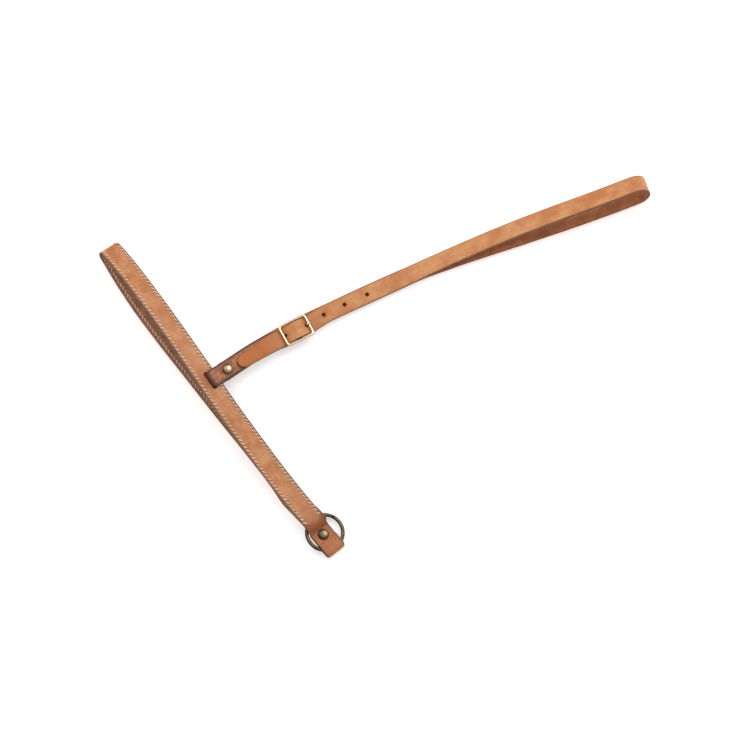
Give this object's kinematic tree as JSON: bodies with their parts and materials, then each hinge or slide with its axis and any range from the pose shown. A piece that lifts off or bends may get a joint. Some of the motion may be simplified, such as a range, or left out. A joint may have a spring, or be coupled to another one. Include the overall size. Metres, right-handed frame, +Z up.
{
  "type": "horse martingale noseband and headstall",
  "caption": "Leather horse martingale: stitched loop noseband on a brass tie ring, with a buckled crown strap that loops over the poll.",
  "frame": {"origin": "middle of the object's plan, on the surface that it lies on", "axes": "+X out along the crown strap to the poll, +Y along the noseband from the ring to the nose, +Z up from the surface"},
  "size_m": [0.4246, 0.3337, 0.0304],
  "materials": {
    "noseband_leather": "satin, russet harness leather, burnished edges",
    "lining_leather": "matt, flesh side",
    "crown_leather": "satin, tan latigo",
    "hanger_leather": "worn dark leather",
    "thread": "waxed cream thread",
    "aged_brass": "antiqued dark brass",
    "bright_brass": "polished brass"
  },
  "bodies": {
    "noseband": {"noseband_outer": "noseband_leather", "noseband_lining": "lining_leather", "stitch_thread_left": "thread", "stitch_thread_right": "thread", "near_ring_rivet_cap": "aged_brass", "near_ring_rivet_post": "aged_brass", "off_ring_rivet_cap": "aged_brass", "off_ring_rivet_post": "aged_brass", "near_hanger_wrap": "hanger_leather", "off_wrap": "crown_leather", "off_rivet_cap": "aged_brass", "off_rivet_post": "aged_brass"},
    "ring": {"tie_ring": "aged_brass"},
    "crown": {"near_hanger_flap": "hanger_leather", "near_hanger_strap": "hanger_leather", "near_hanger_rivet_cap": "aged_brass", "near_hanger_rivet_post": "aged_brass", "crown_strap": "crown_leather"},
    "buckle": {"buckle_frame": "bright_brass"},
    "tongue": {"buckle_tongue": "bright_brass"}
  },
  "joints": [
    {"name": "ring_spin", "type": "hinge", "parent": "noseband", "child": "ring", "pos_m": [-0.195, -0.1464, 0.0051], "axis": [0.0888, -0.0303, 0.9956], "continuous": true},
    {"name": "crown_swing", "type": "hinge", "parent": "noseband", "child": "crown", "pos_m": [-0.18733, 0.01663, 0.02311], "axis": [-0.0205, -0.9952, -0.0954], "range_deg": [0, 20]},
    {"name": "buckle_tilt", "type": "hinge", "parent": "crown", "child": "buckle", "pos_m": [-0.11, 0.01052, 0.0086], "axis": [-0.1392, -0.9903, 0], "range_deg": [-2.5, 3]},
    {"name": "tongue_swing", "type": "hinge", "parent": "buckle", "child": "tongue", "pos_m": [-0.11, 0.01052, 0.0086], "axis": [-0.1392, -0.9903, 0], "range_deg": [0, 3]}
  ]
}
